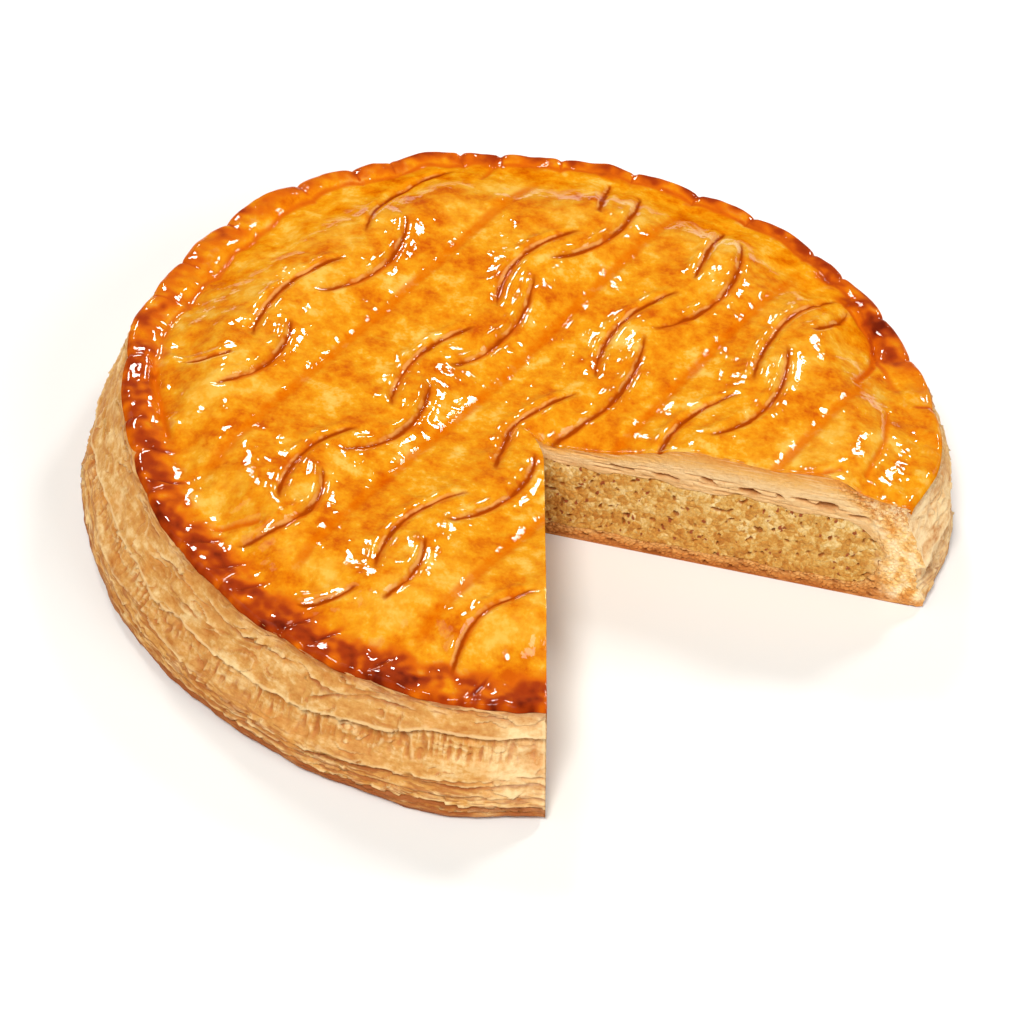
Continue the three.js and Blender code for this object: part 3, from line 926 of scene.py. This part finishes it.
def cake_coords(tree, stretch=(1.0, 1.0, 1.0)):
    """Object coordinates, in millimetres, stretched for grain that runs one way."""
    coords = add(tree, "ShaderNodeTexCoord").outputs["Object"]
    scale = [1000.0 * value for value in stretch]
    return add(tree, "ShaderNodeMapping", {"Vector": coords, "Scale": scale}).outputs["Vector"]


def level_of(tree):
    """Height above the table in millimetres."""
    coords = add(tree, "ShaderNodeTexCoord").outputs["Object"]
    height = add(tree, "ShaderNodeSeparateXYZ", {"Vector": coords}).outputs["Z"]
    return times(tree, height, 1000.0)


def grain(tree, where, size, detail=3.0, rough=0.55):
    """Noise from 0 to 1 with features about size across."""
    settings = {"Vector": where, "Scale": 1.0 / size, "Detail": detail, "Roughness": rough}
    return add(tree, "ShaderNodeTexNoise", settings).outputs["Fac"]


def field(tree, name):
    return add(tree, "ShaderNodeAttribute", attribute_name=name).outputs["Fac"]


def between(tree, value, low, high):
    """0 below low, 1 above high, soft between."""
    node = add(tree, "ShaderNodeMapRange", {"Value": value, "From Min": low, "From Max": high},
               interpolation_type="SMOOTHSTEP")
    return node.outputs["Result"]


def sums(tree, operation, first, second, third=None):
    node = add(tree, "ShaderNodeMath", {0: first, 1: second}, operation=operation)
    if third is not None:
        node.inputs[2].default_value = third
    return node.outputs["Value"]


def times(tree, first, second):
    return sums(tree, "MULTIPLY", first, second)


def fades(tree, value, low, high):
    """1 below low, 0 above high, soft between."""
    return sums(tree, "SUBTRACT", 1.0, between(tree, value, low, high))


def strayed(tree, value, pattern, reach):
    """A value that a pattern from 0 to 1 pushes up or down by as much as reach."""
    return sums(tree, "ADD", value, sums(tree, "MULTIPLY_ADD", pattern, 2 * reach, -reach))


def mixture(tree, *shares):
    """Patterns added up, each by its share."""
    parts = [times(tree, pattern, share) for pattern, share in shares]
    total = parts[0]
    for part in parts[1:]:
        total = sums(tree, "ADD", total, part)
    return total


def blend(tree, amount, under, over):
    node = tree.nodes.new("ShaderNodeMix")
    node.data_type = "RGBA"
    for socket, value in ((node.inputs[0], amount), (node.inputs[6], under), (node.inputs[7], over)):
        if isinstance(value, bpy.types.NodeSocket):
            tree.links.new(value, socket)
        else:
            socket.default_value = value
    return node.outputs[2]


def tint(tree, colour, amount, strength, *chart):
    """Lays a chart colour over a colour, as far as amount times strength says."""
    return blend(tree, times(tree, amount, strength), colour, shade(*chart))


def ramp(tree, value, *stops):
    """Colours along a value; each stop is its place and a chart colour."""
    node = add(tree, "ShaderNodeValToRGB", {"Fac": value})
    while len(node.color_ramp.elements) < len(stops):
        node.color_ramp.elements.new(0.5)
    for element, (spot, *chart) in zip(node.color_ramp.elements, stops):
        element.position = spot
        element.color = shade(*chart)
    return node.outputs["Color"]


def bumps(tree, shader, *layers):
    """Relief too fine for the mesh; each layer is (height, millimetres)."""
    normal = None
    for height, depth in layers:
        node = add(tree, "ShaderNodeBump", {"Height": height, "Distance": depth * MM, "Strength": 1.0})
        if normal is not None:
            tree.links.new(normal, node.inputs["Normal"])
        normal = node.outputs["Normal"]
    tree.links.new(normal, shader.inputs["Normal"])
    return normal


def glazed_finish():
    """Egg glaze: pale gold to amber, deep orange in the scores, mahogany round the rim, painted shade in the
    folds and cut slits.
    """
    material, tree, shader = new_finish("egg_glaze", 0.5, Coat_Weight=1.0, Coat_Roughness=0.03,
                                        Coat_IOR=1.5, Specular_IOR_Level=0.0)
    where = cake_coords(tree)
    cloud = grain(tree, where, 13.0, 5.0, 0.6)
    mottle = grain(tree, where, 3.8, 4.0, 0.58)
    speck = grain(tree, where, 0.9, 2.0, 0.5)
    mixed = mixture(tree, (cloud, 0.56), (mottle, 0.34), (speck, 0.1))
    colour = ramp(tree, mixed, (0.36, 200, 88, 0), (0.45, 222, 126, 4), (0.54, 232, 156, 20),
                  (0.63, 240, 192, 88))
    inward = field(tree, "inward")
    shoulder = times(tree, between(tree, inward, 8.0, 24.0), fades(tree, inward, 30.0, 62.0))
    colour = tint(tree, colour, shoulder, between(tree, cloud, 0.4, 0.9), 238, 180, 66)
    score = sums(tree, "ABSOLUTE", field(tree, "score"), 0.0)
    in_score = times(tree, fades(tree, score, 0.6, 2.8), between(tree, inward, 12.0, 24.0))
    colour = tint(tree, colour, in_score, sums(tree, "ADD", cloud, 0.05), 206, 86, 0)

    # The rim's oven browning, with painted shade along its grooves, notches and folds
    brown = strayed(tree, field(tree, "browning"), mottle, 0.25)
    for low, high, *chart in ((0.05, 0.6, 208, 95, 8), (0.45, 0.95, 160, 54, 10), (0.9, 1.4, 100, 24, 6)):
        colour = blend(tree, between(tree, brown, low, high), colour, shade(*chart))

    # Each curved cut: a painted warm shadow round it, a pale torn lip beside it and painted shade in its dark
    # slit
    strength = field(tree, "strength")
    gap = strayed(tree, field(tree, "cut"), mottle, 0.6)
    near = sums(tree, "ABSOLUTE", gap, 0.0)
    around = times(tree, fades(tree, near, 0.4, 1.8), strength)
    colour = tint(tree, colour, around, 0.8, 198, 80, 0)
    beside = sums(tree, "ABSOLUTE", sums(tree, "SUBTRACT", gap, 0.75), 0.0)
    torn = times(tree, fades(tree, beside, 0.3, 0.7), between(tree, strength, 0.55, 0.9))
    torn = times(tree, torn, between(tree, grain(tree, where, 7.0, 2.0), 0.44, 0.56))
    colour = tint(tree, colour, torn, 0.75, 230, 164, 88)
    wide = strayed(tree, near, grain(tree, where, 9.0, 2.0), 0.8)
    slit_shade = times(tree, fades(tree, wide, 0.1, 0.85), between(tree, strength, 0.1, 0.7))
    colour = blend(tree, slit_shade, colour, shade(158, 62, 2))
    tree.links.new(colour, shader.inputs["Base Color"])

    dull = sums(tree, "MAXIMUM", times(tree, in_score, 0.85), sums(tree, "MAXIMUM", slit_shade, torn))
    wet = times(tree, sums(tree, "SUBTRACT", 1.0, times(tree, dull, 0.9)), between(tree, inward, 0.2, 2.4))
    tree.links.new(times(tree, wet, field(tree, "gloss")), shader.inputs["Coat Weight"])
    blister = grain(tree, where, 1.3, 1.0, 0.5)
    wrinkle = grain(tree, cake_coords(tree, (1.0, 1.0, 0.3)), 3.0, 1.5, 0.5)
    tree.links.new(bumps(tree, shader, (wrinkle, 0.2), (blister, 0.05)), shader.inputs["Coat Normal"])
    return material


def flaky_finish():
    """Dry flaky pastry: cream leaves with painted light on their crests, tan painted shade between them and
    in their creases, brown at the foot, painted light over its right-hand end.
    """
    material, tree, shader = new_finish("flaky_pastry", 0.62, Specular_IOR_Level=0.35)
    fibres = grain(tree, cake_coords(tree, (1.0, 1.0, 0.25)), 1.2, 3.0, 0.55)
    cloud = grain(tree, cake_coords(tree, (0.4, 0.4, 1.0)), 4.4, 5.0, 0.62)
    speck = grain(tree, cake_coords(tree, (0.45, 0.45, 1.0)), 1.2, 4.0, 0.6)
    mixed = mixture(tree, (cloud, 0.6), (fibres, 0.15), (speck, 0.25))
    colour = ramp(tree, mixed, (0.38, 189, 117, 40), (0.5, 211, 154, 78), (0.62, 238, 203, 143))
    # Painted shade, tan, in the hollows between the leaves, and painted light on their proud crests
    hollow = strayed(tree, field(tree, "hollow"), fibres, 0.3)
    colour = tint(tree, colour, between(tree, hollow, 0.05, 0.55), 0.8, 196, 122, 54)
    painted_crest_light = between(tree, times(tree, field(tree, "hollow"), -1.0), 0.1, 0.6)
    colour = tint(tree, colour, painted_crest_light, 0.6, 242, 208, 152)
    level = strayed(tree, level_of(tree), cloud, 3.0)
    under_glaze = between(tree, level, 30.5, 33.5)
    strata = grain(tree, cake_coords(tree, (0.1, 0.1, 1.0)), 0.62, 2.0, 0.5)
    lined = times(tree, between(tree, strata, 0.48, 0.6),
                  sums(tree, "ADD", fades(tree, level, 8.0, 13.0), under_glaze))
    colour = tint(tree, colour, under_glaze, 0.35, 200, 126, 50)
    colour = tint(tree, colour, lined, 0.65, 164, 86, 26)
    # Painted shade in the creases under the leaves, under torn sheets and in the air pockets
    crease = strayed(tree, field(tree, "crease"), fibres, 0.25)
    colour = tint(tree, colour, between(tree, crease, 0.2, 0.75), 0.9, 158, 82, 24)
    patches = between(tree, grain(tree, cake_coords(tree), 11.0, 3.0, 0.5), 0.56, 0.68)
    colour = tint(tree, colour, patches, 0.4, 220, 146, 60)
    colour = tint(tree, colour, fades(tree, level, 1.2, 4.8), 0.85, 150, 70, 14)
    # Painted light over the right-hand end of the side, and a paler strip by the second cut
    pale = times(tree, field(tree, "pale"), between(tree, mixed, 0.3, 0.62))
    colour = tint(tree, colour, pale, 0.9, 250, 222, 174)
    tree.links.new(colour, shader.inputs["Base Color"])
    bumps(tree, shader, (fibres, 0.15), (speck, 0.38), (lined, 0.12))
    return material


def crumb_finish():
    """Moist almond crumb in cream, straw and tan, with flecks of skin."""
    material, tree, shader = new_finish("almond_crumb", 0.7, Specular_IOR_Level=0.4)
    where = cake_coords(tree)
    tone = strayed(tree, field(tree, "tone"), grain(tree, where, 0.8, 3.0), 0.3)
    colour = ramp(tree, tone, (0.1, 184, 116, 34), (0.4, 206, 147, 60), (0.62, 220, 176, 96),
                  (0.9, 242, 213, 152))
    colour = outer_crumb(tree, colour, where)
    # Painted shade in the crumb's pits
    colour = tint(tree, colour, between(tree, field(tree, "pit"), 0.35, 0.8), 0.85, 174, 98, 26)
    colour = blend(tree, field(tree, "fleck"), colour, shade(152, 72, 22))
    tree.links.new(colour, shader.inputs["Base Color"])
    bumps(tree, shader, (grain(tree, where, 0.7, 4.0, 0.65), 0.35))
    return material


def outer_crumb(tree, colour, where):
    """Near the outer end of a cut every layer turns into the same pale, crumbly pastry."""
    patches = grain(tree, where, 5.0, 4.0, 0.6)
    crumbs = ramp(tree, patches, (0.36, 224, 154, 70), (0.46, 246, 200, 126), (0.58, 253, 226, 178))
    foot = strayed(tree, level_of(tree), patches, 5.0)
    browned_foot = sums(tree, "SUBTRACT", 0.75, between(tree, foot, 0.5, 5.5))
    crumbs = blend(tree, browned_foot, crumbs, shade(206, 128, 52))
    return blend(tree, field(tree, "outer"), colour, crumbs)


def section_finish(name, low, middle, top, high, pale, dark):
    """Pastry in section, from its filling side to its baked side."""
    material, tree, shader = new_finish(name, 0.68, Specular_IOR_Level=0.35)
    where = cake_coords(tree)
    speck = grain(tree, where, 1.2, 4.0, 0.65)
    strata = grain(tree, cake_coords(tree, (0.22, 0.22, 1.0)), 0.5, 3.0, 0.6)
    rise = strayed(tree, field(tree, "rise"), speck, 0.12)
    colour = ramp(tree, rise, (0.1, *low), (0.45, *middle), (0.7, *top), (0.95, *high))
    leaves = between(tree, grain(tree, cake_coords(tree, (0.07, 0.07, 1.0)), 0.8, 3.0, 0.6), 0.5, 0.62)
    colour = tint(tree, colour, leaves, 0.4, *pale)
    colour = tint(tree, colour, between(tree, strata, 0.5, 0.68), 0.28, *dark)
    colour = outer_crumb(tree, colour, where)
    toasted = times(tree, field(tree, "toasted"), between(tree, speck, 0.42, 0.62))
    colour = tint(tree, colour, times(tree, toasted, between(tree, rise, 0.4, 0.8)), 0.85, 198, 120, 42)
    # Painted shade in the pits and air slots, weaker near the outer end
    shaded = sums(tree, "MULTIPLY_ADD", field(tree, "outer"), -0.4, 0.7)
    colour = tint(tree, colour, between(tree, field(tree, "pit"), 0.2, 0.9), shaded, *dark)
    tree.links.new(colour, shader.inputs["Base Color"])
    bumps(tree, shader, (strata, 0.1), (speck, 0.35))
    return material


def underside_finish():
    material, tree, shader = new_finish("oven_browned_base", 0.66, Specular_IOR_Level=0.35)
    where = cake_coords(tree)
    spots = grain(tree, where, 3.0, 4.0, 0.6)
    mixed = mixture(tree, (grain(tree, where, 16.0, 5.0, 0.6), 0.6), (spots, 0.4))
    colour = ramp(tree, mixed, (0.36, 150, 80, 30), (0.5, 192, 116, 48), (0.64, 222, 156, 84))
    tree.links.new(colour, shader.inputs["Base Color"])
    bumps(tree, shader, (spots, 0.3), (grain(tree, where, 0.8, 3.0), 0.12))
    return material


# ---------------------------------------------------------------- assembly

LID_GRID = 472
SIDE_STEPS = 620
SIDE_ROWS = 130
UNDER_GRID = 120
CUT_DETAIL = 1.0

egg_glaze = glazed_finish()
flaky = flaky_finish()
crumb = crumb_finish()
lid_section = section_finish("lid_section", (222, 176, 116), (235, 199, 145), (232, 177, 96),
                             (218, 138, 42), (247, 216, 166), (190, 120, 50))
base_section = section_finish("base_section", (176, 96, 26), (206, 132, 56), (218, 152, 78),
                              (228, 172, 100), (226, 164, 92), (152, 80, 22))

lid_half("glazed_lid_front", True, egg_glaze)
lid_half("glazed_lid_back", False, egg_glaze)
for number in range(2):
    flaky_side(f"flaky_side_{number + 1}", number / 2, (number + 1) / 2, flaky)

CUT_LAYERS = (
    # layer, rows of its grid, finish, nodes, slot, and what its seed adds to the cut's
    ("lid", 80, lid_section, ["pastry_lid"], "glazed_pastry", 0),
    ("filling", 120, crumb, ["almond_filling"], "almond_crumb", 20),
    ("base", 60, base_section, ["pastry_base"], "baked_pastry", 40),
)
for label, cut, seed in (("first", FIRST, 100), ("second", SECOND, 200)):
    for layer, rows, finish, nodes, slot, extra in CUT_LAYERS:
        cut_layer(f"{label}_cut_{layer}", cut, layer, int(470 * CUT_DETAIL), int(rows * CUT_DETAIL),
                  finish, nodes, seed + extra)
underside("browned_underside", underside_finish())


# ---------------------------------------------------------------- table, light and camera

def soft_light(name, azimuth, elevation, spread, power):
    """A far softbox: where it stands, how wide it looks, all in degrees."""
    lamp = bpy.data.lights.new(name, "SUN")
    lamp.angle = math.radians(spread)
    lamp.energy = power
    lamp.color = (1.0, 0.98, 0.93)
    light = bpy.data.objects.new(name, lamp)
    bpy.context.collection.objects.link(light)
    turn, lift = math.radians(azimuth), math.radians(elevation)
    towards = Vector((math.cos(turn) * math.cos(lift), math.sin(turn) * math.cos(lift), math.sin(lift)))
    light.rotation_euler = towards.to_track_quat("Z", "Y").to_euler()


def pale_table():
    bm = bmesh.new()
    bmesh.ops.create_grid(bm, x_segments=2, y_segments=2, size=3.0)
    mesh = bpy.data.meshes.new("table")
    bm.to_mesh(mesh)
    bm.free()
    material, _, shader = new_finish("table_white", 0.9, Specular_IOR_Level=0.1)
    shader.inputs["Base Color"].default_value = (0.9, 0.9, 0.9, 1.0)
    mesh.materials.append(material)
    table = bpy.data.objects.new("table", mesh)
    bpy.context.collection.objects.link(table)


CAMERA_TILT = math.radians(42.856)
CAMERA_ROLL = math.radians(9.105)
CAMERA_DISTANCE = 1.493367
FRAME_WIDTH = 36.0
LENS = 175.78125
CAMERA_OFFSET = (8.0527 / 5000, 5.7206 / 5000)   # how far off the view's middle the cake sits


def set_camera():
    forward = Vector((0, math.cos(CAMERA_TILT), -math.sin(CAMERA_TILT)))
    side = Vector((1, 0, 0))
    up = side.cross(forward)
    right = side * math.cos(CAMERA_ROLL) + up * math.sin(CAMERA_ROLL)
    head = up * math.cos(CAMERA_ROLL) - side * math.sin(CAMERA_ROLL)
    shift = right * CAMERA_OFFSET[0] + head * CAMERA_OFFSET[1] + forward
    camera = bpy.data.objects.new("camera", bpy.data.cameras.new("camera"))
    bpy.context.collection.objects.link(camera)
    camera.data.sensor_width = FRAME_WIDTH
    camera.data.lens = LENS
    turn = Matrix((right, head, -forward)).transposed().to_4x4()
    camera.matrix_world = Matrix.Translation(-shift * CAMERA_DISTANCE) @ turn
    bpy.context.scene.camera = camera


def set_world():
    world = bpy.data.worlds.new("room")
    world.use_nodes = True
    sky = world.node_tree.nodes["Background"]
    sky.inputs["Color"].default_value = (1.0, 1.0, 1.0, 1.0)
    sky.inputs["Strength"].default_value = 0.08
    bpy.context.scene.world = world


pale_table()
set_camera()
set_world()
soft_light("front_key", -108.0, 54.0, 15.0, 2.3)
soft_light("right_fill", -28.0, 34.0, 35.0, 1.2)
soft_light("left_fill", -155.0, 35.0, 50.0, 0.45)
soft_light("back_right", 62.0, 38.0, 10.0, 0.85)
soft_light("back_left", 116.0, 40.0, 10.0, 0.85)
bpy.context.scene.view_settings.view_transform = "Standard"
